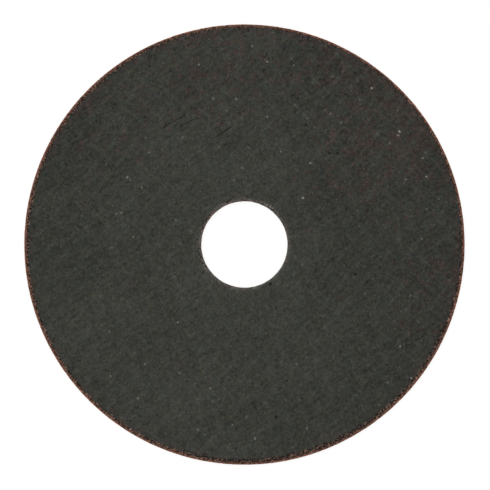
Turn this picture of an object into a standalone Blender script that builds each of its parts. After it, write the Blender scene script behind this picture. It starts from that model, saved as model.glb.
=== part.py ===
"""
A thin cut off wheel for a small angle grinder, modelled as the one moulded piece that it is.

The wheel lies flat on its lower face, with its axis along +Z through the origin.
Abrasive grain fills the mould, and a glass fibre mesh under a dark tissue is pressed into each face.
The mould plates press the threads of both meshes flat, and between four threads the face sinks a little.
The tissue and the mesh stop short of the rim, so a narrow ring of bare abrasive shows there.
"""

import math

import bmesh
import bpy
from mathutils import Matrix

# Driving dimensions of the wheel, in metres
OUTER_DIAMETER = 0.1143
BORE_DIAMETER = 0.02235
WHEEL_THICKNESS = 0.00114
RIM_EDGE_CHAMFER = 0.00010

# The facing on each side: how far it stops short of the rim, how proud it stands, how it sits
FACING_MARGIN = 0.00105
FACING_STEP = 0.00010
FACING_OFFSET_X = 0.00011
FACING_OFFSET_Y = 0.00021

# The glass fibre mesh: a wide thread is a pair of yarns, and thin threads cross it
WIDE_THREAD_WIDTH = 0.00105
CELL_DEPTH = 0.00008

# How the mesh lies on the upper face: the pitch of each set of threads, its shift and its turn in degrees
UPPER_WIDE_PITCH = 0.00429
UPPER_THIN_PITCH = 0.00423
UPPER_WIDE_SHIFT = 0.0
UPPER_THIN_SHIFT = 0.00195
UPPER_TURN = -39.5

# How the mesh lies on the lower face, seen from above
LOWER_WIDE_PITCH = 0.00420
LOWER_THIN_PITCH = 0.00409
LOWER_WIDE_SHIFT = 0.00113
LOWER_THIN_SHIFT = 0.00143
LOWER_TURN = 17.2

# Facets round the circles, and the angle in degrees from which an edge is shaded sharp
RIM_STEPS = 120
BORE_STEPS = 72
SHARP_ANGLE = 30.0

# Colours of the two surfaces, linear
FACING_COLOUR = (0.042, 0.043, 0.036, 1.0)
ABRASIVE_COLOUR = (0.170, 0.093, 0.072, 1.0)


def clear_scene():
    """Remove whatever the file started with."""
    for item in list(bpy.data.objects):
        bpy.data.objects.remove(item)


def new_collection(name):
    """Return a new collection linked to the scene."""
    group = bpy.data.collections.new(name)
    bpy.context.scene.collection.children.link(group)
    return group


def new_material(name, colour, roughness):
    """Return a plain matt material."""
    material = bpy.data.materials.new(name)
    material.use_nodes = True
    shader = material.node_tree.nodes["Principled BSDF"]
    shader.inputs["Base Color"].default_value = colour
    shader.inputs["Roughness"].default_value = roughness
    shader.inputs["Metallic"].default_value = 0.0
    material.diffuse_color = colour
    return material


def new_object(name, bm, group, material):
    """Turn a bmesh into an object in the collection."""
    mesh = bpy.data.meshes.new(name)
    bm.to_mesh(mesh)
    bm.free()
    mesh.materials.append(material)
    item = bpy.data.objects.new(name, mesh)
    group.objects.link(item)
    return item


def make_cutter(item):
    """Mark an object as a construction body that is neither rendered nor handed in."""
    item.hide_render = True
    item.display_type = "WIRE"


def add_boolean(item, name, operation, other):
    """
    Join, cut or trim an object by another one.

    The manifold solver is used because the round runs almost through the corners of some threads,
    where the exact solver can leave a sliver of the surface open.
    """
    step = item.modifiers.new(name, "BOOLEAN")
    step.operation = operation
    step.object = other
    step.solver = "MANIFOLD"
    step.material_mode = "TRANSFER"


def make_cylinder(name, diameter, bottom, top, steps, group, material):
    """Return an upright cylinder from one height to another."""
    bm = bmesh.new()
    bmesh.ops.create_cone(
        bm,
        cap_ends=True,
        segments=steps,
        radius1=diameter / 2,
        radius2=diameter / 2,
        depth=top - bottom,
        matrix=Matrix.Translation((0.0, 0.0, (top + bottom) / 2)),
    )
    return new_object(name, bm, group, material)


def make_bare_rim(group, material):
    """
    Return the ring of bare abrasive round the faces, with its two edges broken.

    Its section is a closed profile at +X, which the Screw modifier turns round the axis. The section
    reaches in under the faces by as much as they stop short of the rim, so that they join.
    """
    radius = OUTER_DIAMETER / 2
    inner = radius - 2 * FACING_MARGIN
    top = WHEEL_THICKNESS - FACING_STEP
    bottom = FACING_STEP
    profile = [
        (inner, top),
        (radius - RIM_EDGE_CHAMFER, top),
        (radius, top - RIM_EDGE_CHAMFER),
        (radius, bottom + RIM_EDGE_CHAMFER),
        (radius - RIM_EDGE_CHAMFER, bottom),
        (inner, bottom),
    ]
    bm = bmesh.new()
    points = [bm.verts.new((x, 0.0, z)) for x, z in profile]
    for first, second in zip(points, points[1:] + points[:1]):
        bm.edges.new((first, second))
    rim = new_object("cut_off_wheel", bm, group, material)
    turn = rim.modifiers.new("turn_section", "SCREW")
    turn.steps = RIM_STEPS
    turn.render_steps = RIM_STEPS
    turn.use_merge_vertices = True
    turn.merge_threshold = 0.000001
    return rim


def thread_centres(pitch, shift):
    """Return where the middles of parallel threads lie, from one side of the wheel to the other."""
    count = math.ceil(OUTER_DIAMETER / 2 / pitch) + 1
    return [shift + number * pitch for number in range(-count, count + 1)]


def make_mesh_face(name, wide, thin, turn, group, material):
    """
    Return one face of the wheel with its mesh pressed into it, as a sheet with a thickness.

    Wide and thin each hold the pitch and the shift of one set of threads. The sheet starts as a grid
    whose lines are moved to the two edges of each wide thread and to the crest of each thin one.
    A mould plate is flat, so the threads stay flat. Every face between four threads is poked down,
    which gives the shallow dip that the mould leaves there. The sheet is a little thicker than half
    of the wheel, so the sheets of the two faces meet inside it.
    """
    half = WIDE_THREAD_WIDTH / 2
    across = [centre + side for centre in thread_centres(*wide) for side in (-half, half)]
    along = thread_centres(*thin)
    columns = len(across) - 1
    rows = len(along) - 1
    bm = bmesh.new()
    bmesh.ops.create_grid(bm, x_segments=columns, y_segments=rows, size=1.0)
    dips = []
    for face in bm.faces:
        column = math.floor((face.calc_center_median().x + 1.0) / 2 * columns)
        if column % 2 == 1:
            dips.append(face)
    for vert in bm.verts:
        column = round((vert.co.x + 1.0) / 2 * columns)
        row = round((vert.co.y + 1.0) / 2 * rows)
        vert.co.x = across[column]
        vert.co.y = along[row]
    bmesh.ops.poke(bm, faces=dips, offset=-CELL_DEPTH, center_mode="MEAN")
    bmesh.ops.rotate(bm, verts=bm.verts, matrix=Matrix.Rotation(math.radians(turn), 3, "Z"))
    sheet = new_object(name, bm, group, material)
    thickness = sheet.modifiers.new("press_in", "SOLIDIFY")
    thickness.thickness = WHEEL_THICKNESS * 0.6
    thickness.offset = -1.0
    make_cutter(sheet)
    return sheet


def place_faces(cutters, material):
    """Return the two faces in place, each trimmed to the round of its tissue."""
    wide = (UPPER_WIDE_PITCH, UPPER_WIDE_SHIFT)
    thin = (UPPER_THIN_PITCH, UPPER_THIN_SHIFT)
    upper = make_mesh_face("upper_face", wide, thin, UPPER_TURN, cutters, material)
    upper.location.z = WHEEL_THICKNESS
    wide = (LOWER_WIDE_PITCH, LOWER_WIDE_SHIFT)
    thin = (LOWER_THIN_PITCH, LOWER_THIN_SHIFT)
    lower = make_mesh_face("lower_face", wide, thin, -LOWER_TURN, cutters, material)
    lower.rotation_euler = (math.pi, 0.0, 0.0)
    trim = make_cylinder(
        "facing_round",
        OUTER_DIAMETER - 2 * FACING_MARGIN,
        -WHEEL_THICKNESS,
        2 * WHEEL_THICKNESS,
        RIM_STEPS,
        cutters,
        material,
    )
    trim.location = (FACING_OFFSET_X, FACING_OFFSET_Y, 0.0)
    make_cutter(trim)
    add_boolean(upper, "trim_upper_face", "INTERSECT", trim)
    add_boolean(lower, "trim_lower_face", "INTERSECT", trim)
    return upper, lower


def settle_shape(item):
    """Replace the modifiers by the mesh that they make, shaded smooth except at its real edges."""
    depsgraph = bpy.context.evaluated_depsgraph_get()
    mesh = bpy.data.meshes.new_from_object(item.evaluated_get(depsgraph))
    mesh.shade_smooth()
    mesh.set_sharp_from_angle(angle=math.radians(SHARP_ANGLE))
    item.modifiers.clear()
    item.data = mesh


def build_wheel():
    """Put the wheel together: the bare rim, both faces, and the bore cut through them."""
    clear_scene()
    wheel_parts = new_collection("cut_off_wheel")
    cutters = new_collection("construction")
    facing = new_material("tissue_facing", FACING_COLOUR, 0.85)
    abrasive = new_material("bare_abrasive", ABRASIVE_COLOUR, 0.9)
    wheel = make_bare_rim(wheel_parts, abrasive)
    upper, lower = place_faces(cutters, facing)
    bore = make_cylinder(
        "bore_cutter",
        BORE_DIAMETER,
        -WHEEL_THICKNESS,
        2 * WHEEL_THICKNESS,
        BORE_STEPS,
        cutters,
        abrasive,
    )
    make_cutter(bore)
    add_boolean(wheel, "join_upper_face", "UNION", upper)
    add_boolean(wheel, "join_lower_face", "UNION", lower)
    add_boolean(wheel, "cut_bore", "DIFFERENCE", bore)
    settle_shape(wheel)


build_wheel()
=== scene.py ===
"""
The looks of a thin cut off wheel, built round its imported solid.

Four closed pieces stand for the one moulded solid. The bare rim and the bore edge are gritty abrasive.
The upper and the lower facing are dark tissue with a glass fibre mesh pressed into it, and together
they fill the wheel between rim and bore. Every piece is a ring-shaped surface worked out with numpy.

Lengths are in millimetres, as a maker would give them, and become metres where a mesh is made.
The frame has its origin on the axis at the lower face, +Z up, and +X to the photo's right.
"""

import math
from functools import reduce

import bpy
import numpy as np
from mathutils import Euler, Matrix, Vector


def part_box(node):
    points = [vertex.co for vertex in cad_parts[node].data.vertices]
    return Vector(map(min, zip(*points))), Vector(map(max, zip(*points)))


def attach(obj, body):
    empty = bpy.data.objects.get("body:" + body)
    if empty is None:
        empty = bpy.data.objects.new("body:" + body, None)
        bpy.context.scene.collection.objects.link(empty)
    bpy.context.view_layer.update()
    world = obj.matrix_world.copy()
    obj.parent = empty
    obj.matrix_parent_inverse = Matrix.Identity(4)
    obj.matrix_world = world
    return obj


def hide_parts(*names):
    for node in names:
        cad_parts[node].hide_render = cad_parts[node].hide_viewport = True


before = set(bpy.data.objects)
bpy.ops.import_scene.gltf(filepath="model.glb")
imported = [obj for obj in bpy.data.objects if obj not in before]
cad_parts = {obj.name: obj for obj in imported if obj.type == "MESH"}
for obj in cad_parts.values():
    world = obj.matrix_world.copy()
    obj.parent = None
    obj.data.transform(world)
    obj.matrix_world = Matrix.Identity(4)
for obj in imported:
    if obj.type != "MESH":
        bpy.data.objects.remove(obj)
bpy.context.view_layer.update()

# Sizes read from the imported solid
MM = 0.001
node_low, node_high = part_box("cut_off_wheel")
RIM_RADIUS = (node_high.x - node_low.x) / 2 / MM
TOP = node_high.z / MM
MIDDLE = TOP / 2
BORE_RADIUS = min(vert.co.xy.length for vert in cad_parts["cut_off_wheel"].data.vertices) / MM

# The angle in degrees from which an edge of a piece is shaded sharp
SHARP_ANGLE = 50.0

# The bare rim: its step below the facing, how far it reaches in, its rounded edges and its grit
RIM_STEP = 0.10
RIM_INNER_RADIUS = RIM_RADIUS - 2.6
EDGE_ROUND = 0.12
RIM_GRIT = 0.035
RIM_PROUDEST_GRAIN = 2.2
RIM_WALL_ROUGHNESS = 0.35
RIM_GRID = 0.16
RIM_COLUMNS = 2200

# The bore edge: how wide it is under the facing, its broken edges and its grit
BORE_LAND = 1.4
BORE_CHAMFER = 0.06
BORE_GRIT = 0.016
BORE_PROUDEST_GRAIN = 1.8
BORE_GRID = 0.12
BORE_COLUMNS = 720

# The facing's frayed inner edge: how far it clears the bore, how uneven it is and where most of it is worn
BORE_LIP = 0.10
BORE_RAGGED = 0.13
BORE_WORN_TURN = 140.0

# The facing's ragged outer edge: it sits a little off the axis, is slightly oval and is worn on one side
FACING_MARGIN = 1.06
FACING_LEAST_MARGIN = 0.3
FACING_OFFSET_X = 0.11
FACING_OFFSET_Y = 0.21
FACING_OVAL = 0.18
FACING_RAGGED = 0.09
FACING_WORN = 0.30
FACING_WORN_TURN = -79.0
FACING_COLUMNS = 860
FACING_ROWS = 112

# The glass fibre mesh of each face, as (turn in degrees, pitch, shift in pitches) of its threads
UPPER_WIDE = (-39.5, 4.29, 0.0)
UPPER_THIN = (49.0, 4.23, 0.485)
LOWER_WIDE = (17.2, 4.20, 0.27)
LOWER_THIN = (-72.6, 4.09, 0.35)

# How the threads stand out: the half width of a yarn, how far a pair parts, and their heights in shares
YARN_REACH = 0.62
YARN_SPREAD = 0.26
YARN_HEIGHT = 1.3
THIN_REACH = 0.58
THIN_HEIGHT = 0.9
MESH_DEPTH = 0.075
PRINT_THROUGH = 0.30
CRUMPLE = 0.004

# How far from its middle line a thread starts to show in the tissue, and where it shows in full
YARN_SHADE = (0.52, 0.05)
THIN_SHADE = (0.4, 0.05)

# The loose fibres of the tissue: their length, their width and the ways they lie in
STRAND_LENGTH = 0.95
STRAND_WIDTH = 0.26
STRAND_TURNS = (8.0, 52.0, 101.0, 147.0)
LONG_STRAND_LENGTH = 3.2
LONG_STRAND_TURN = -40.0

# How near to 0 the noise lies where a curled fibre shows
FIBRE_WIDTH = 0.36

# The fine rib of the tissue, in the terms of the mesh
TISSUE_RIB = (-58.65, 1.60, 0.15)

# How much each part of the tissue adds to its shade, in levels of the photo
RIB_LEVELS = 1.25
PALE_FIBRE_LEVELS = 8.8
DARK_FIBRE_LEVELS = 7.1
FINE_LEVELS = 3.85
LOOSE_LEVELS = 0.42
LONG_STRAND_LEVELS = 4.0
GRAIN_LEVELS = 1.8
BLOT_LEVELS = 0.9
CLOUD_LEVELS = 0.8
DRIFT_LEVELS = 0.6
BORE_EDGE_LEVELS = 20.0
BORE_RING_LEVELS = 5.0
FLANGE_LEVELS = 0.8
SMUDGE_LEVELS = 1.9
EVEN_LEVELS = 0.3

# One level as a share of the tissue's colour
LEVEL = 0.0333

# The random specks of the tissue, as (size of a cell, share of the cells that have one, radius)
RANDOM_PORES = (2.2, 0.2, 0.36)
# The pale random grains and dust are partly painted glints
RANDOM_GRAINS = (3.0, 0.03, 0.29)
RANDOM_DUST = (1.2, 0.17, 0.25)

# Colours of the tissue in levels of the photo
TISSUE_COLOUR = (58.2, 59.1, 54.0)
RED_RESIN_COLOUR = (63.8, 56.3, 52.8)
YELLOW_TINT = (60.0, 59.2, 49.5)
COLD_TINT = (55.5, 59.3, 57.0)
BORE_WORN_COLOUR = (112, 97, 94)
PIT_COLOUR = (15, 14, 12)
PORE_COLOUR = (26, 25, 22)
# The pale speck colour is partly painted glints of light on grains and glass fibre
PALE_SPECK_AND_GLINT_COLOUR = (146, 145, 138)

# Colours of the abrasive in levels of the photo
RESIN_DARK_COLOUR = (81, 68, 60)
RESIN_PALE_COLOUR = (125, 98, 85)
RUBBED_COLOUR = (127, 84, 66)
# The rim edge colour is painted light: the outermost edge, paler and more orange as if lit from around
RIM_EDGE_LIGHT_COLOUR = (152, 86, 58)
BORE_WALL_COLOUR = (116, 97, 90)
# The darkest colour serves dark grains, the gaps between them, pits, and a painted shadow beside the facing
DARK_GRIT_AND_SHADOW_COLOUR = (20, 17, 16)
PALE_GRAIN_COLOUR = (165, 135, 118)
ABRASIVE_GRAIN = 0.38

# Where reddish resin shows through the tissue, as (x, y, reach, strength)
RED_PATCHES = [
    (35.0, 31.0, 28.0, 2.0),
    (-6.0, 54.0, 32.0, 1.65),
    (24.0, 49.0, 20.0, 1.95),
    (54.0, -10.0, 27.0, 1.45),
    (-36.0, 34.0, 22.0, 1.2),
    (18.0, 18.0, 18.0, 0.9),
]

# The darker smudge round the pits to the right of the bore
SMUDGE_PLACE = (24.0, 11.0, TOP)
SMUDGE_REACH = 22.0

# Scratches on the face in pixels of the photo, as (start x, start y, end x, end y, strength)
SCRATCHES_PX = [
    (162.5, 127.8, 186.0, 114.0, 0.9),
    (179.0, 127.0, 198.0, 117.0, 0.8),
    (215.5, 137.3, 231.5, 126.5, 0.9),
    (209.5, 143.9, 215.0, 143.6, 0.7),
    (221.5, 144.3, 239.5, 142.0, 0.8),
    (166.5, 135.8, 171.0, 137.2, 0.6),
    (271.3, 288.5, 272.6, 299.5, 0.45),
]

# Pits in the face in pixels of the photo, as (x, y, radius)
PITS_PX = [
    (164.6, 126.8, 1.5),
    (270.5, 284.0, 3.0),
    (272.0, 209.8, 2.4),
    (329.4, 153.0, 2.2),
    (337.6, 153.2, 1.7),
    (320.0, 79.4, 1.8),
    (219.0, 182.0, 1.7),
    (283.8, 48.3, 1.8),
    (248.3, 30.8, 1.5),
    (276.4, 417.4, 1.6),
    (355.0, 274.0, 2.0),
    (440.0, 330.0, 1.8),
    (305.6, 124.6, 1.4),
    (293.0, 95.0, 1.3),
]

# Pale grains and chips, partly painted glints, in pixels of the photo, as (x, y, radius, strength)
GRAINS_PX = [
    (399.6, 131.6, 1.6, 1.0),
    (398.2, 135.2, 1.5, 0.55),
    (371.6, 88.2, 1.5, 0.75),
    (310.4, 163.0, 1.4, 0.7),
    (303.0, 197.8, 1.5, 0.85),
    (426.4, 176.6, 1.4, 0.6),
    (405.8, 179.4, 1.3, 0.45),
    (330.6, 113.6, 1.4, 0.4),
    (332.4, 76.6, 1.4, 0.35),
    (390.0, 143.0, 1.2, 0.4),
    (400.2, 346.2, 1.4, 0.75),
    (411.3, 378.0, 1.3, 0.5),
    (387.8, 382.5, 1.3, 0.3),
    (267.4, 117.0, 1.3, 0.5),
    (249.4, 147.6, 1.3, 0.5),
    (242.4, 168.0, 1.5, 0.25),
    (182.6, 137.4, 1.5, 0.25),
    (264.3, 202.8, 1.3, 0.3),
    (266.6, 205.0, 1.7, 0.5),
    (270.3, 206.3, 1.6, 0.6),
    (272.4, 208.2, 1.4, 0.5),
    (254.0, 287.8, 1.8, 0.3),
    (212.0, 272.5, 1.5, 0.35),
    (127.0, 177.4, 1.5, 0.7),
    (142.0, 187.6, 1.4, 0.3),
    (149.0, 152.6, 1.4, 0.3),
    (121.4, 212.8, 1.7, 0.3),
    (133.4, 236.8, 1.3, 0.65),
    (176.0, 220.0, 1.3, 0.3),
    (109.4, 331.4, 1.4, 0.35),
    (134.6, 353.0, 1.2, 0.2),
    (144.8, 364.0, 1.4, 0.3),
    (110.6, 376.0, 1.5, 0.55),
    (138.0, 398.4, 1.5, 0.55),
    (179.4, 373.0, 1.4, 0.35),
    (210.0, 388.4, 1.5, 0.35),
    (212.6, 401.0, 1.2, 0.2),
    (198.2, 429.6, 1.3, 0.33),
    (230.6, 367.0, 1.2, 0.25),
    (254.6, 438.8, 1.6, 0.45),
    (296.6, 364.0, 1.2, 0.35),
    (438.6, 199.2, 1.3, 0.45),
    (426.6, 209.0, 1.4, 0.25),
    (422.0, 239.0, 1.3, 0.4),
    (335.6, 185.6, 1.5, 0.22),
    (252.2, 46.3, 1.3, 0.3),
    (267.2, 61.7, 1.3, 0.6),
    (265.2, 59.4, 1.1, 0.25),
    (198.7, 64.5, 1.5, 0.5),
    (291.7, 58.0, 1.3, 0.3),
    (213.4, 98.4, 1.5, 0.35),
    (236.0, 99.0, 1.4, 0.35),
    (226.0, 111.0, 1.2, 0.25),
    (233.6, 180.4, 1.5, 0.28),
    (425.6, 152.6, 1.3, 0.3),
    (422.8, 158.0, 1.3, 0.35),
    (341.2, 122.6, 1.4, 0.35),
    (325.6, 132.4, 1.2, 0.3),
    (307.6, 118.4, 1.4, 0.28),
    (360.0, 100.0, 1.4, 0.28),
    (397.6, 110.4, 1.3, 0.28),
    (295.2, 104.8, 1.2, 0.22),
]

# The scratches: how dark they are beside the pits, how their sides fade and how their ends fade
SCRATCH_SHADE = 0.85
SCRATCH_SIDE = (0.24, 0.06)
SCRATCH_END = (-0.1, 0.4)

# How far from its middle a pit or a chip keeps its full shade
MARK_CORE = 0.1

# The photo's view: its size in pixels, where the wheel's centre and rim lie in it, and the lens
PHOTO_PIXELS = 490
WHEEL_CENTRE_X_PX = 244.44
WHEEL_CENTRE_Y_PX = 244.53
WHEEL_RADIUS_PX = 220.4
PIXEL = RIM_RADIUS / WHEEL_RADIUS_PX
LENS = 135.0
SENSOR = 36.0
CLIP_START = 0.01
CLIP_END = 10.0

# The studio in metres and degrees: the floor, its glow, the white surround and the key lamp
FLOOR_HALF = 1.5
FLOOR_DROP = 0.00002
FLOOR_WHITE = 0.97
FLOOR_GLOW = 1.02
FLOOR_GLOW_SHARE = 0.88
SURROUND_STRENGTH = 0.72
KEY_STRENGTH = 1.0
KEY_SPREAD = 40.0
KEY_TILT = -22.0
KEY_LEAN = -24.0


def ripples(x, y, length, seed, waves=40):
    """
    Smooth random relief with a mean of 0 and a spread of 1.

    It is the sum of cosine waves in random directions, cos(k (x cos a + y sin a) + p), whose lengths
    lie within a third of the given length, divided by the square root of half their number.
    """
    rng = np.random.default_rng(seed)
    turn = rng.uniform(0, 2 * np.pi, waves)
    wave = 2 * np.pi / (length * rng.uniform(0.75, 1.33, waves))
    start = rng.uniform(0, 2 * np.pi, waves)
    total = np.zeros(np.shape(x))
    for direction, number, offset in zip(turn, wave, start):
        total += np.cos(number * (x * np.cos(direction) + y * np.sin(direction)) + offset)
    return total / math.sqrt(waves / 2)


def grit(rows, columns, row_blur, column_blur, seed):
    """
    Random grit on a grid that closes on itself both ways, with a mean of 0 and a spread of 1.

    White noise is blurred by a Gaussian of the given widths in grid steps, by way of its Fourier
    transform, so that the last row and column meet the first.
    """
    noise = np.random.default_rng(seed).normal(size=(rows, columns))
    row_wave = np.fft.fftfreq(rows)[:, None] * row_blur
    column_wave = np.fft.fftfreq(columns)[None, :] * column_blur
    blur = np.exp(-2 * np.pi**2 * (row_wave**2 + column_wave**2))
    smooth = np.fft.ifft2(np.fft.fft2(noise) * blur).real
    return smooth / smooth.std()


def angles(columns):
    """The angle of each column of a ring, once round the axis."""
    return np.arange(columns) * 2 * np.pi / columns


def ring_piece(name, radius, height, material):
    """
    Make a closed piece that runs round the axis.

    Radius and height are arrays with a row for each point of the section and a column for each angle a,
    and a point of the surface is (radius cos a, radius sin a, height). The section is walked so that
    the outside lies on its left, seen with the radius to the right and the height up. Rows and columns
    close on themselves, so the surface has no seam.
    """
    rows, columns = radius.shape
    turn = angles(columns)
    points = np.stack([radius * np.cos(turn), radius * np.sin(turn), height], axis=-1) * MM
    row, column = np.meshgrid(np.arange(rows), np.arange(columns), indexing="ij")
    next_row = (row + 1) % rows
    next_column = (column + 1) % columns
    corners = [
        row * columns + column,
        next_row * columns + column,
        next_row * columns + next_column,
        row * columns + next_column,
    ]
    quads = np.stack(corners, axis=-1).reshape(-1)
    mesh = bpy.data.meshes.new(name)
    mesh.vertices.add(rows * columns)
    mesh.vertices.foreach_set("co", points.reshape(-1))
    mesh.loops.add(len(quads))
    mesh.loops.foreach_set("vertex_index", quads)
    mesh.polygons.add(len(quads) // 4)
    mesh.polygons.foreach_set("loop_start", np.arange(0, len(quads), 4))
    mesh.update(calc_edges=True)
    mesh.validate()
    mesh.shade_smooth()
    mesh.set_sharp_from_angle(angle=math.radians(SHARP_ANGLE))
    mesh.materials.append(material)
    piece = bpy.data.objects.new(name, mesh)
    bpy.context.scene.collection.objects.link(piece)
    return piece


def section_normals(radius, height):
    """The outward direction at each point of a section, a quarter turn left of the way it is walked."""
    along_radius = np.roll(radius, -1, axis=0) - np.roll(radius, 1, axis=0)
    along_height = np.roll(height, -1, axis=0) - np.roll(height, 1, axis=0)
    length = np.hypot(along_radius, along_height)
    return -along_height / length, along_radius / length


def walk(corners, step, columns):
    """
    Points along a closed section from corner to corner, about one step apart, for each column of a ring.

    A corner is (radius, height, fine). The stretch that starts at a corner marked fine is divided,
    and one that is hidden inside the wheel is left whole.
    """
    radii = []
    heights = []
    for (r0, h0, fine), (r1, h1, _) in zip(corners, corners[1:] + corners[:1]):
        parts = max(1, round(math.hypot(r1 - r0, h1 - h0) / step)) if fine else 1
        share = np.arange(parts) / parts
        radii.append(r0 + (r1 - r0) * share)
        heights.append(h0 + (h1 - h0) * share)
    radius = np.repeat(np.concatenate(radii)[:, None], columns, axis=1)
    height = np.repeat(np.concatenate(heights)[:, None], columns, axis=1)
    return radius, height


def thread_distance(x, y, threads):
    """Signed distance across a set of parallel threads to the nearest one, and the running phase."""
    turn, pitch, shift = threads
    phase = (x * math.cos(math.radians(turn)) + y * math.sin(math.radians(turn))) / pitch - shift
    return (phase - np.round(phase)) * pitch, phase


def yarn(distance, reach):
    """The back of a yarn: half of 1 plus the cosine of half a turn over its reach, then 0."""
    return 0.5 + 0.5 * np.cos(np.pi * np.clip(distance / reach, -1, 1))


def mesh_relief(x, y, wide, thin):
    """
    How proud the mesh stands, from 0 between its threads to 1 on them.

    A wide thread is a pair of yarns that twist once between two thin threads, as in a leno weave: the
    two lie to the sides of the middle line by spread times the cosine of half a turn for each pitch
    along it. The relief is the highest of both yarns and of the thin thread that they hold, and the
    flat mould plate cuts it off at 1.
    """
    across, _ = thread_distance(x, y, wide)
    over, phase = thread_distance(x, y, thin)
    aside = YARN_SPREAD * np.cos(np.pi * phase)
    pair = YARN_HEIGHT * np.maximum(yarn(across - aside, YARN_REACH), yarn(across + aside, YARN_REACH))
    return np.clip(np.maximum(pair, THIN_HEIGHT * yarn(over, THIN_REACH)), 0, 1)


def facing_edges(turn, seed):
    """
    The radius of a facing's frayed inner edge and of its ragged outer edge at each angle.

    The outer edge is a circle off the axis plus a sine wave twice round, ripples and grit, less the
    eighth power of a cosine round its worn side. The inner edge is the bore plus the size of a coarse
    and a fine grit, larger towards the worn side by half of 1 plus the cosine of the angle from it.
    """
    ragged = ripples(RIM_RADIUS * np.cos(turn), RIM_RADIUS * np.sin(turn), 2.2, 11 + seed)
    ragged += 0.6 * grit(1, len(turn), 0, 0.7, 13 + seed)[0]
    outer = RIM_RADIUS - FACING_MARGIN + FACING_RAGGED * ragged + FACING_OVAL * np.sin(2 * turn)
    outer += FACING_OFFSET_X * np.cos(turn) + FACING_OFFSET_Y * np.sin(turn)
    outer -= FACING_WORN * np.clip(np.cos(turn - math.radians(FACING_WORN_TURN)), 0, 1) ** 8
    coarse = np.abs(grit(1, len(turn), 0, 5.0, 17 + seed)[0])
    fine = np.abs(grit(1, len(turn), 0, 1.5, 19 + seed)[0])
    worn = 0.5 + 0.5 * np.cos(turn - math.radians(BORE_WORN_TURN))
    inner = BORE_RADIUS + BORE_LIP + BORE_RAGGED * (0.4 + 0.8 * worn) * (coarse + 0.5 * fine)
    return inner, np.minimum(outer, RIM_RADIUS - FACING_LEAST_MARGIN)


def facing_piece(name, upper, material):
    """
    Make one facing: the relief of its mesh over a flat-bottomed ring that reaches the wheel's middle.

    The rows of the face run from the inner to the outer edge, a little closer together near the bore.
    Their depth below the plane of the thread tops is the mesh depth times 1 less the relief, in which
    the other face's mesh shows through, plus the size of a fine and a wide ripple for the crumple.
    """
    seed = 1 if upper else 0
    turn = angles(FACING_COLUMNS)
    inner, outer = facing_edges(turn, seed)
    share = (np.arange(FACING_ROWS) / (FACING_ROWS - 1))[:, None]
    share = share * (0.8 + 0.2 * share)
    radius = inner * (1 - share) + outer * share
    x = radius * np.cos(turn)
    y = radius * np.sin(turn)
    near = mesh_relief(x, y, UPPER_WIDE, UPPER_THIN)
    far = mesh_relief(x, y, LOWER_WIDE, LOWER_THIN)
    if not upper:
        near, far = far, near
    relief = np.clip(near + PRINT_THROUGH * far * (1 - near), 0, 1)
    crumple = CRUMPLE * (np.abs(ripples(x, y, 1.3, 23 + seed)) + np.abs(ripples(x, y, 7.0, 29 + seed)))
    depth = MESH_DEPTH * (1 - relief) + crumple
    side = 1 if upper else -1
    height = MIDDLE + side * (MIDDLE - depth)
    radius = np.concatenate([radius, radius[-1:], radius[:1]])
    height = np.concatenate([height, np.full((2, FACING_COLUMNS), MIDDLE)])
    if not upper:
        radius, height = radius[::-1], height[::-1]
    return ring_piece(name, radius, height, material)


def rim_piece(material):
    """
    Make the bare rim: a ring of square section with its two edges rounded, roughened by grit.

    Each point is moved in along the section's normal by the grit, so that the proudest grains just
    reach the moulded face. The outer wall is rubbed smoother than the step beside the facing.
    """
    top = TOP - RIM_STEP
    bottom = RIM_STEP
    corners = [
        (RIM_INNER_RADIUS, top, True),
        (RIM_RADIUS - EDGE_ROUND, top, True),
        (RIM_RADIUS, top - EDGE_ROUND, True),
        (RIM_RADIUS, bottom + EDGE_ROUND, True),
        (RIM_RADIUS - EDGE_ROUND, bottom, True),
        (RIM_INNER_RADIUS, bottom, False),
    ]
    radius, height = walk(corners, RIM_GRID, RIM_COLUMNS)
    out_radius, out_height = section_normals(radius, height)
    rows = radius.shape[0]
    rough = grit(rows, RIM_COLUMNS, 0.9, 0.9, 31) + 0.6 * grit(rows, RIM_COLUMNS, 2.5, 3.5, 37)
    inwards = np.clip((RIM_RADIUS - 0.15 - radius) / 0.4, 0, 1)
    rubbed = RIM_WALL_ROUGHNESS + (1 - RIM_WALL_ROUGHNESS) * inwards
    sunk = RIM_GRIT * rubbed * np.clip(RIM_PROUDEST_GRAIN - rough, 0, None)
    radius = np.minimum(radius - sunk * out_radius, RIM_RADIUS)
    height = height - sunk * out_height
    return ring_piece("bare_rim", radius, height, material)


def bore_piece(material):
    """
    Make the bore edge: a ring whose inner wall is the bore, roughened by grit like the rim.

    Each point is moved back into the wheel along the section's normal, so the bore never gets smaller.
    """
    top = TOP - RIM_STEP
    bottom = RIM_STEP
    corners = [
        (BORE_RADIUS, bottom + BORE_CHAMFER, True),
        (BORE_RADIUS, top - BORE_CHAMFER, True),
        (BORE_RADIUS + BORE_CHAMFER, top, True),
        (BORE_RADIUS + BORE_LAND, top, False),
        (BORE_RADIUS + BORE_LAND, bottom, True),
        (BORE_RADIUS + BORE_CHAMFER, bottom, True),
    ]
    radius, height = walk(corners, BORE_GRID, BORE_COLUMNS)
    out_radius, out_height = section_normals(radius, height)
    rows = radius.shape[0]
    rough = grit(rows, BORE_COLUMNS, 1.2, 3.0, 41) + 0.9 * grit(rows, BORE_COLUMNS, 4.0, 14.0, 43)
    sunk = BORE_GRIT * np.clip(BORE_PROUDEST_GRAIN - rough, 0, None)
    radius = radius - sunk * out_radius
    height = height - sunk * out_height
    return ring_piece("bore_edge", radius, height, material)


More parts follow.
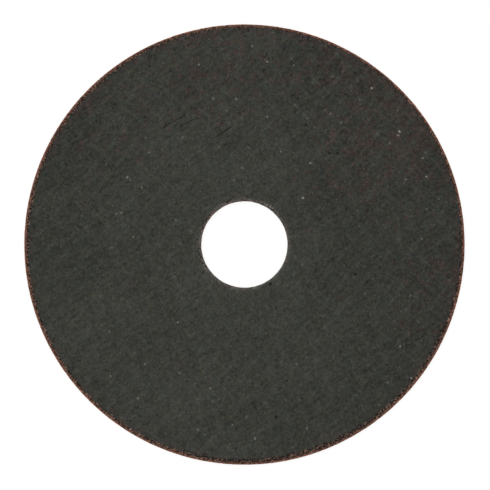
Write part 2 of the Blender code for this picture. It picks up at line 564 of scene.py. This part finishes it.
class Wire:
    """
    A value, vector or colour on its way through the nodes of a material.

    Arithmetic between values adds Math nodes, with the wire on either side. Every other node comes
    from node(), which takes its kind, its settings and the values or wires of its sockets.
    """

    def __init__(self, tree, socket=None):
        self.tree = tree
        self.socket = socket

    def node(self, kind, settings, sockets, output=0):
        """Add a node and return the wire from one of its outputs."""
        made = self.tree.nodes.new("ShaderNode" + kind)
        for name, value in settings.items():
            setattr(made, name, value)
        for name, value in sockets.items():
            if isinstance(value, Wire):
                self.tree.links.new(value.socket, made.inputs[name])
            else:
                made.inputs[name].default_value = value
        return Wire(self.tree, made.outputs[output])

    def math(self, operation, *terms):
        """Add a Math node on the given terms."""
        return self.node("Math", {"operation": operation}, dict(enumerate(terms)))

    def __add__(self, other):
        return self.math("ADD", self, other)

    __radd__ = __add__

    def __sub__(self, other):
        return self.math("SUBTRACT", self, other)

    def __rsub__(self, other):
        return self.math("SUBTRACT", other, self)

    def __mul__(self, other):
        return self.math("MULTIPLY", self, other)

    __rmul__ = __mul__

    def __truediv__(self, other):
        return self.math("DIVIDE", self, other)

    def __rtruediv__(self, other):
        return self.math("DIVIDE", other, self)

    def __abs__(self):
        return self.math("ABSOLUTE", self)

    def highest(self, other):
        """The higher of two values at each place."""
        return self.math("MAXIMUM", self, other)

    def ramp(self, start, end):
        """Change smoothly from 0 at start to 1 at end, whichever of them is the lower one."""
        sockets = {"Value": self, "From Min": start, "From Max": end}
        return self.node("MapRange", {"interpolation_type": "SMOOTHSTEP"}, sockets)

    def moved(self, offset):
        """A position moved by a vector, which may be a wire too."""
        return self.node("VectorMath", {"operation": "ADD"}, {0: self, 1: offset})

    def scaled(self, factor):
        """A position or a colour times a value."""
        return self.node("VectorMath", {"operation": "SCALE"}, {0: self, "Scale": factor})

    def along(self, degrees):
        """How far a position lies in a direction of the face's plane."""
        turn = math.radians(degrees)
        sockets = {0: self, 1: (math.cos(turn), math.sin(turn), 0.0)}
        return self.node("VectorMath", {"operation": "DOT_PRODUCT"}, sockets, output="Value")

    def distance(self, place):
        """How far a position lies from a place."""
        return self.node("VectorMath", {"operation": "DISTANCE"}, {0: self, 1: place}, output="Value")

    def from_axis(self):
        """How far a position lies from the wheel's axis."""
        flat = self.node("VectorMath", {"operation": "MULTIPLY"}, {0: self, 1: (1.0, 1.0, 0.0)})
        return flat.node("VectorMath", {"operation": "LENGTH"}, {0: flat}, output="Value")

    def noise(self, size, detail=0.0, seed=0):
        """Random shade with a mean of 0 and a spread of about 1, whose blots have the given size."""
        moved = self.moved((seed * 31.7, seed * 17.3, seed * 23.9))
        sockets = {"Vector": moved, "Scale": 1.0 / size, "Detail": detail}
        return (self.node("TexNoise", {}, sockets) - 0.5) * 8.0

    def warped(self, scale, detail, reach):
        """A position moved about by a random vector, by at most half the reach each way."""
        sockets = {"Vector": self, "Scale": scale, "Detail": detail}
        random = self.node("TexNoise", {}, sockets, output="Color")
        return self.moved(random.scaled(reach).moved((-reach / 2, -reach / 2, -reach / 2)))

    def blend(self, first, second):
        """Blend from the first colour to the second one by this share."""
        return self.node("Mix", {"data_type": "RGBA"}, {0: self, 6: first, 7: second}, output=2)

    def mix(self, other, share):
        """Blend from this colour to the other one by a share."""
        return share.blend(self, other)


def from_photo(x, y):
    """The place on the wheel's face, in millimetres from the axis, that a pixel of the photo shows."""
    return (x - WHEEL_CENTRE_X_PX) * PIXEL, (WHEEL_CENTRE_Y_PX - y) * PIXEL, TOP


def linear(levels):
    """A colour given in the photo's 0 to 255 levels, as linear values."""
    shares = [value / 255 for value in levels]
    return (*[((value + 0.055) / 1.055) ** 2.4 for value in shares], 1.0)


def new_material(name, specular, roughness):
    """Return a material and its Principled shader."""
    material = bpy.data.materials.new(name)
    material.use_nodes = True
    shader = material.node_tree.nodes["Principled BSDF"]
    shader.inputs["Specular IOR Level"].default_value = specular
    shader.inputs["Roughness"].default_value = roughness
    return material, shader


def place_on_wheel(material):
    """The position on the wheel in millimetres, as a wire in the material's nodes."""
    return Wire(material.node_tree).node("TexCoord", {}, {}, output="Object").scaled(1 / MM)


def plug(wire, shader, name):
    """Lead a wire into a socket of the shader."""
    wire.tree.links.new(wire.socket, shader.inputs[name])


def bump(shader, relief, strength, depth):
    """Turn a relief into the shader's bump of a depth in millimetres."""
    sockets = {"Height": relief, "Strength": strength, "Distance": depth * MM}
    plug(relief.node("Bump", {}, sockets), shader, "Normal")


def thread_shade(place, wide, thin):
    """Where a mesh shows in the tissue: its wide threads and its thin threads."""
    phase_wide = place.along(wide[0]) / wide[1] - wide[2]
    phase_thin = place.along(thin[0]) / thin[1] - thin[2]
    across = (phase_wide - phase_wide.math("ROUND", phase_wide)) * wide[1]
    over = phase_thin.math("PINGPONG", phase_thin, 0.5) * thin[1]
    aside = phase_thin.math("COSINE", phase_thin * math.pi) * YARN_SPREAD
    left = abs(across - aside).ramp(*YARN_SHADE)
    right = abs(across + aside).ramp(*YARN_SHADE)
    return left.highest(right), over.ramp(*THIN_SHADE)


def wave_shade(place, threads, waves=1):
    """A soft light and dark wave across a set of threads: 1 on them, and so many waves to a pitch."""
    phase = place.along(threads[0]) / threads[1] - threads[2]
    return phase.math("COSINE", phase * (2 * math.pi * waves))


def patches(place, size, seed):
    """How strongly a mesh shows from place to place, from 0.4 to 1.6 in blots of the given size."""
    return place.noise(size, 1.0, seed).ramp(-1.6, 1.6) * 1.2 + 0.4


def fibre_net(place, size, gap, least, seed):
    """Thin curled fibres: the places where a noise is near 0, kept where a wider noise is high."""
    lines = abs(place.noise(size, 0.0, seed)).ramp(FIBRE_WIDTH, 0.0)
    return lines * place.noise(gap, 0.0, seed + 1).ramp(least, least + 1.6)


def strands(place, turn, length, seed):
    """Straight fibres that lie in one direction: a noise that is stretched along them."""
    sockets = {"X": place.along(turn) / length, "Y": place.along(turn + 90) / STRAND_WIDTH}
    return place.node("CombineXYZ", {}, sockets).noise(1.0, 0.0, seed)


def loose_strands(place, seed):
    """
    Short straight fibres in all the ways they lie in, light and dark.

    Each way adds the cube of its noise, which keeps the few highest and lowest places.
    """
    total = 0.0
    for turn in STRAND_TURNS:
        strand = strands(place, turn, STRAND_LENGTH, seed + turn)
        total = total + strand * strand * strand
    return total


def spots(place, size, share, radius, seed):
    """
    Sparse round spots, as a mask and a random number that is the same all over a spot.

    The plane is split in cells of the given size, and a share of them has a spot of the radius.
    """
    moved = place.moved((seed * 13.1, seed * 7.7, 0.0))
    sockets = {"Vector": moved, "Scale": 1.0 / size}
    settings = {"voronoi_dimensions": "2D"}
    distance = place.node("TexVoronoi", settings, sockets) * size
    centre = place.node("TexVoronoi", settings, sockets, output="Position")
    picks = centre.node("TexWhiteNoise", {}, {"Vector": centre}, output="Color")
    pick = picks.node("SeparateColor", {}, {0: picks}, output="Red")
    other = picks.node("SeparateColor", {}, {0: picks}, output="Green")
    chosen = pick.ramp(1 - share, 1 - share + 0.001)
    return distance.ramp(radius, radius * 0.45) * chosen, other


def stroke(place, wander, start, end):
    """A thin mark from one place to another, as a mask that wanders a little and fades at its ends."""
    run = Vector(end) - Vector(start)
    turn = math.degrees(math.atan2(run.y, run.x))
    moved = place.moved((-start[0], -start[1], 0.0))
    from_start = moved.along(turn)
    inside = from_start.ramp(*SCRATCH_END) * (run.length - from_start).ramp(*SCRATCH_END)
    return abs(moved.along(turn + 90) + wander).ramp(*SCRATCH_SIDE) * inside


def dot(place, x, y, radius):
    """A round mark at a pixel of the photo, as a mask that fades towards its radius in pixels."""
    return place.distance(from_photo(x, y)).ramp(radius * PIXEL, MARK_CORE)


def worn_marks(place):
    """The scratches, pits and pale chips that the photo shows on the upper face, as dark and light masks.
    The pale chips are partly painted glints.
    """
    wander = place.noise(1.4, 0.0, 5) * 0.05
    dark = [dot(place, x, y, radius) for x, y, radius in PITS_PX]
    for x0, y0, x1, y1, strength in SCRATCHES_PX:
        mark = stroke(place, wander, from_photo(x0, y0), from_photo(x1, y1))
        dark.append(mark * (strength * SCRATCH_SHADE))
    light = [dot(place, x, y, radius) * strength for x, y, radius, strength in GRAINS_PX]
    return reduce(Wire.highest, dark), reduce(Wire.highest, light)


def red_zones(place):
    """How readily red resin shows through the tissue: the strongest of the patches at each place."""
    zones = []
    for x, y, reach, strength in RED_PATCHES:
        zones.append(place.distance((x, y, TOP)).ramp(reach * 1.25, reach * 0.2) * strength)
    return reduce(Wire.highest, zones)


def broad_shade(place):
    """The slow change of shade over the wheel in levels: darker to the right and towards the sides, partly
    the tissue's own tone and partly painted shade of light falling off across the wheel.
    """
    # Partly painted shade: the darkening to the right and the sides stands in for uneven light as well as
    # the tissue's tone
    right = place.along(0.0) / RIM_RADIUS
    up = place.along(90.0) / RIM_RADIUS
    return right * (up * 2.0 - right * 4.5 - 0.3) - up * (up * 1.9 + 0.5) - right.ramp(0.05, 0.3) * 1.6


def tissue_colour(place, levels, seed):
    """
    The tissue's colour at a shade given in levels, of which one is a thirtieth of the colour.

    Red resin shows in flecks, more of them in the red zones and near the rim, and yellow and cold
    tints change it slowly.
    """
    red = place.noise(1.4, 1.0, seed + 12) + place.noise(5.0, 0.0, seed + 13) * 0.3
    red_edge = place.from_axis().ramp(RIM_RADIUS - 4.0, RIM_RADIUS - 1.0) * 1.5
    flecks = (red + red_zones(place) + red_edge).ramp(1.75, 2.3)
    yellow = place.noise(2.0, 0.0, seed + 14).ramp(0.3, 1.8)
    cold = place.noise(2.6, 0.0, seed + 15).ramp(0.3, 1.8)
    colour = flecks.blend(linear(TISSUE_COLOUR), linear(RED_RESIN_COLOUR))
    colour = colour.mix(linear(YELLOW_TINT), yellow * 0.42)
    colour = colour.mix(linear(COLD_TINT), cold * 0.42)
    return colour.scaled((levels * LEVEL + 1.0).highest(0.2))


def mesh_shade(place, wavy, meshes, seed):
    """
    The shade of both meshes under a face, in levels, and the masks of the near one's threads.

    The near mesh is pale on its threads and palest where they cross. The far one is a soft wave.
    """
    wide, thin, far_wide, far_thin = meshes
    pair, core = thread_shade(wavy, wide, thin)
    threads = pair * 2.2 + core * 1.7 + pair * core * 2.0 - 1.0
    near = threads * patches(place, 16.0, seed + 1) + wave_shade(wavy, thin, 2) * 0.35
    far = wave_shade(wavy, far_wide) * 0.85 + wave_shade(wavy, far_thin) * 0.7
    return near + far * patches(place, 14.0, seed + 2), pair, core


def cloud_shade(place, seed):
    """The blots, the clouds and the wide drift of the tissue's shade, in levels."""
    blots = place.noise(2.6, 0.0, seed + 10) * BLOT_LEVELS
    clouds = place.noise(9.0, 1.0, seed + 11) * CLOUD_LEVELS
    return blots + clouds + place.noise(15.0, 0.0, seed + 19) * DRIFT_LEVELS


def wear_shade(from_axis, grain):
    """The pale wear at the bore's edge, in a ring round it and under the flange, in levels."""
    edge = from_axis.ramp(BORE_RADIUS + 1.15, BORE_RADIUS) * (BORE_EDGE_LEVELS + grain * 7.0)
    ring = from_axis.ramp(BORE_RADIUS + 2.8, BORE_RADIUS + 0.3) * BORE_RING_LEVELS
    return edge + ring + from_axis.ramp(BORE_RADIUS + 16.0, BORE_RADIUS + 3.0) * FLANGE_LEVELS


def frayed_edges(place, from_axis, seed):
    """Where the tissue is frayed, as masks: pale resin at the bore, and dark nicks at bore and rim, which at
    the rim also hold a painted shadow along the seam with the rim step.
    """
    lean = place.along(BORE_WORN_TURN) / from_axis * 0.45 + 0.6
    pale = place.noise(0.6, 1.0, seed + 17).ramp(-0.4, 0.7) * lean
    pale = pale * from_axis.ramp(BORE_RADIUS + 1.6, BORE_RADIUS + 0.4)
    nicks = place.noise(0.5, 1.0, seed + 18).ramp(0.15, 0.8) * lean
    nicks = nicks * from_axis.ramp(BORE_RADIUS + 1.8, BORE_RADIUS + 0.9)
    # Partly painted shadow: the dark nicks near the rim also darken the seam where the facing's edge meets
    # the rim step
    frayed = place.noise(0.6, 1.0, seed + 16).ramp(0.5, 1.3)
    frayed = frayed * from_axis.ramp(RIM_RADIUS - 2.2, RIM_RADIUS - 1.1)
    return pale * 0.68, (frayed * 0.75).highest(nicks * 0.85)


def speckle(place, seed):
    """The random specks of the tissue, as masks: dark pores, and pale grains among finer dust, the pale ones
    partly painted glints.
    """
    pores, pore_kind = spots(place, *RANDOM_PORES, seed + 20)
    grains, grain_kind = spots(place, *RANDOM_GRAINS, seed + 21)
    dust, dust_kind = spots(place, *RANDOM_DUST, seed + 22)
    dark = pores * (pore_kind * pore_kind * 0.7 + 0.15)
    pale_specks_and_glints = grains * (grain_kind * grain_kind * grain_kind * 0.4 + 0.10)
    return dark, pale_specks_and_glints.highest(dust * dust_kind * 0.16)


def facing_material(name, meshes, seed, worn):
    """
    The dark grey-green tissue of a facing.

    Its shade is added up in levels of the photo: both meshes, the tissue's rib, its fibres, its grain
    and the wear round the bore. Frayed edges with a painted shadow at the rim, light grains that are
    partly painted glints, and dark pores are laid over it, and on a worn facing the marks that the
    photo shows. The same fields drive the roughness and the bump.
    """
    material, shader = new_material(name, 0.08, 0.8)
    place = place_on_wheel(material)
    wavy = place.warped(0.07, 0.0, 0.8)
    uneven = place.warped(2.2, 1.0, 0.5)
    from_axis = place.from_axis()

    mesh, pair, core = mesh_shade(place, wavy, meshes, seed)
    rib = wave_shade(wavy, TISSUE_RIB) * (place.noise(3.0, 0.0, seed + 3) * 0.3 + 0.95)
    fibres = fibre_net(place, 1.5, 2.2, 0.0, seed + 4)
    dark_fibres = fibre_net(place, 1.1, 2.6, 0.2, seed + 6)
    fine = place.noise(0.42, 2.0, seed + 8)
    grain = place.noise(0.9, 0.0, seed + 9)
    long_strands = strands(wavy, LONG_STRAND_TURN, LONG_STRAND_LENGTH, seed + 24).ramp(1.5, 2.6)

    levels = mesh + rib * RIB_LEVELS + fibres * PALE_FIBRE_LEVELS - dark_fibres * DARK_FIBRE_LEVELS
    levels = levels + fine * FINE_LEVELS + grain * GRAIN_LEVELS + cloud_shade(place, seed)
    levels = levels + loose_strands(place, seed + 23) * LOOSE_LEVELS + long_strands * LONG_STRAND_LEVELS
    # The broad shade is partly painted shade of uneven light
    levels = levels + wear_shade(from_axis, grain) + broad_shade(place) + EVEN_LEVELS
    if worn:
        levels = levels - place.distance(SMUDGE_PLACE).ramp(SMUDGE_REACH, 4.0) * SMUDGE_LEVELS
    colour = tissue_colour(place, levels, seed)

    pale_edge, dark_nicks_and_seam_shadow = frayed_edges(place, from_axis, seed)
    dark, pale_specks_and_glints = speckle(uneven, seed)
    # The dark nicks near the rim are partly painted shadow along the seam with the rim step
    dark = dark.highest(dark_nicks_and_seam_shadow)
    colour = colour.mix(linear(BORE_WORN_COLOUR), pale_edge)
    if worn:
        marks, chips = worn_marks(uneven)
        colour = colour.mix(linear(PIT_COLOUR), marks * 0.9)
        pale_specks_and_glints = pale_specks_and_glints.highest(chips)
    colour = colour.mix(linear(PORE_COLOUR), dark)
    # Partly painted highlights: the pale specks stand in for glints of light on grains and glass fibre as
    # well as their own pale colour
    colour = colour.mix(linear(PALE_SPECK_AND_GLINT_COLOUR), pale_specks_and_glints)
    plug(colour, shader, "Base Color")

    plug(0.84 - pair * 0.05 - pale_specks_and_glints * 0.3 + fine * 0.02, shader, "Roughness")
    relief = fine * 0.10 + grain * 0.16 + rib * 0.10 + fibres * 0.5 + core * 0.30 + pale_specks_and_glints * 0.8 - dark * 1.2
    bump(shader, relief, 0.6, 0.02)
    return material


def abrasive_material():
    """
    Bare abrasive: reddish brown resin round dark and light grains, brighter where the edge is rubbed, with
    painted light along the very edge.

    Grains are cells of a fine pattern. Each takes a shade of its own, and the resin between them is
    darker and lies deeper. The step beside the facing has dark pits and a painted shadow along the
    facing's edge, more of them where the facing is worn back.
    """
    material, shader = new_material("bare_abrasive", 0.1, 0.85)
    place = place_on_wheel(material)
    from_axis = place.from_axis()
    sockets = {"Vector": place, "Scale": 1.0 / ABRASIVE_GRAIN}
    centre = place.node("TexVoronoi", {}, sockets, output="Position")
    cells = centre.node("TexWhiteNoise", {}, {"Vector": centre}, output="Color")
    shade = cells.node("SeparateColor", {}, {0: cells}, output="Red")
    tint = cells.node("SeparateColor", {}, {0: cells}, output="Green")
    gaps = place.node("TexVoronoi", {}, sockets).ramp(0.45, 0.75)

    rubbed = from_axis.ramp(RIM_RADIUS - 0.75, RIM_RADIUS - 0.2)
    at_bore = from_axis.ramp(BORE_RADIUS + 3.0, BORE_RADIUS + 1.5)
    lean = place.along(15.0) / from_axis
    colour = tint.blend(linear(RESIN_DARK_COLOUR), linear(RESIN_PALE_COLOUR))
    colour = colour.mix(linear(RUBBED_COLOUR), rubbed)
    # Painted light: the outermost edge is made paler and more orange, standing in for the edge lit from
    # around
    colour = colour.mix(linear(RIM_EDGE_LIGHT_COLOUR), from_axis.ramp(RIM_RADIUS - 0.3, RIM_RADIUS - 0.05) * 0.8)
    colour = colour.mix(linear(BORE_WALL_COLOUR), at_bore * 0.85)
    colour = colour.scaled(0.55 + shade * 0.75 + place.noise(0.3, 1.0, 3) * 0.10 - lean * 0.04)

    # Partly painted shadow: the dark patches on the step next to the facing stand in for the shadow along
    # the facing's edge as well as real pits, more where the facing is worn back
    worn_side = (place.along(FACING_WORN_TURN) / from_axis).ramp(0.88, 0.98)
    pits_and_edge_shadow = (place.noise(0.45, 0.0, 6) + worn_side * 0.5).ramp(-0.3, 0.3)
    pits_and_edge_shadow = pits_and_edge_shadow * (0.92 - rubbed * 0.78) * (1.0 - at_bore)
    dark = (gaps * 0.5).highest(shade.ramp(0.16, 0.10) * 0.7).highest(pits_and_edge_shadow)
    colour = colour.mix(linear(DARK_GRIT_AND_SHADOW_COLOUR), dark)
    colour = colour.mix(linear(PALE_GRAIN_COLOUR), shade.ramp(0.93, 0.95) * 0.22)
    plug(colour, shader, "Base Color")

    plug(0.88 - shade * 0.15, shader, "Roughness")
    bump(shader, shade * 0.6 - gaps * 0.6 + place.noise(0.3, 1.0, 4) * 0.1, 0.8, 0.05)
    return material


def floor_material():
    """
    A plain white floor. What the camera sees is mostly its own white, so that it stays pale, and the
    rest is lit, so that it keeps the wheel's shadow.
    """
    material, shader = new_material("white_floor", 0.0, 1.0)
    shader.inputs["Base Color"].default_value = (FLOOR_WHITE, FLOOR_WHITE, FLOOR_WHITE, 1.0)
    tree = material.node_tree
    start = Wire(tree)
    rays = ("Is Camera Ray", "Is Glossy Ray", "Is Transmission Ray")
    seen = reduce(Wire.highest, [start.node("LightPath", {}, {}, output=ray) for ray in rays])
    glow = start.node("Emission", {}, {"Color": (1.0, 1.0, 1.0, 1.0), "Strength": FLOOR_GLOW})
    lit = Wire(tree, shader.outputs[0])
    mixed = start.node("MixShader", {}, {0: seen * FLOOR_GLOW_SHARE, 1: lit, 2: glow})
    output = next(node for node in tree.nodes if node.type == "OUTPUT_MATERIAL")
    tree.links.new(mixed.socket, output.inputs["Surface"])
    return material


def make_floor():
    """A flat white floor that the wheel lies on, a hair below it."""
    mesh = bpy.data.meshes.new("floor")
    corners = [(-1, -1), (1, -1), (1, 1), (-1, 1)]
    points = [(x * FLOOR_HALF, y * FLOOR_HALF, -FLOOR_DROP) for x, y in corners]
    mesh.from_pydata(points, [], [(0, 1, 2, 3)])
    mesh.materials.append(floor_material())
    floor = bpy.data.objects.new("floor", mesh)
    bpy.context.scene.collection.objects.link(floor)


def light_scene():
    """Soft studio light: an even white surround and a wide soft key from high on the left."""
    world = bpy.data.worlds.new("studio")
    world.use_nodes = True
    surround = world.node_tree.nodes["Background"]
    surround.inputs["Color"].default_value = (1.0, 1.0, 1.0, 1.0)
    surround.inputs["Strength"].default_value = SURROUND_STRENGTH
    bpy.context.scene.world = world
    key = bpy.data.lights.new("key", "SUN")
    key.energy = KEY_STRENGTH
    key.angle = math.radians(KEY_SPREAD)
    lamp = bpy.data.objects.new("key", key)
    lamp.rotation_euler = Euler((math.radians(KEY_TILT), math.radians(KEY_LEAN), 0.0))
    bpy.context.scene.collection.objects.link(lamp)


def add_camera():
    """
    Look straight down on the wheel, as the photo does.

    The photo's width in millimetres and the lens give the height, and the middle of the photo gives
    the place above the face.
    """
    distance = PHOTO_PIXELS * PIXEL * LENS / SENSOR
    camera = bpy.data.cameras.new("camera")
    camera.lens = LENS
    camera.sensor_width = SENSOR
    camera.clip_start = CLIP_START
    camera.clip_end = CLIP_END
    holder = bpy.data.objects.new("camera", camera)
    right, up, face = from_photo(PHOTO_PIXELS / 2, PHOTO_PIXELS / 2)
    holder.location = Vector((right, up, face + distance)) * MM
    bpy.context.scene.collection.objects.link(holder)
    bpy.context.scene.camera = holder


def build_wheel():
    """Make the four pieces, let them ride on the wheel's body and stand for its node."""
    abrasive = abrasive_material()
    upper_meshes = (UPPER_WIDE, UPPER_THIN, LOWER_WIDE, LOWER_THIN)
    lower_meshes = (LOWER_WIDE, LOWER_THIN, UPPER_WIDE, UPPER_THIN)
    upper = facing_material("upper_tissue", upper_meshes, 0, worn=True)
    lower = facing_material("lower_tissue", lower_meshes, 50, worn=False)
    pieces = [
        facing_piece("upper_facing", True, upper),
        facing_piece("lower_facing", False, lower),
        rim_piece(abrasive),
        bore_piece(abrasive),
    ]
    for piece in pieces:
        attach(piece, "root")
        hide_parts("cut_off_wheel")


build_wheel()
make_floor()
light_scene()
add_camera()
bpy.context.scene.view_settings.view_transform = "Standard"
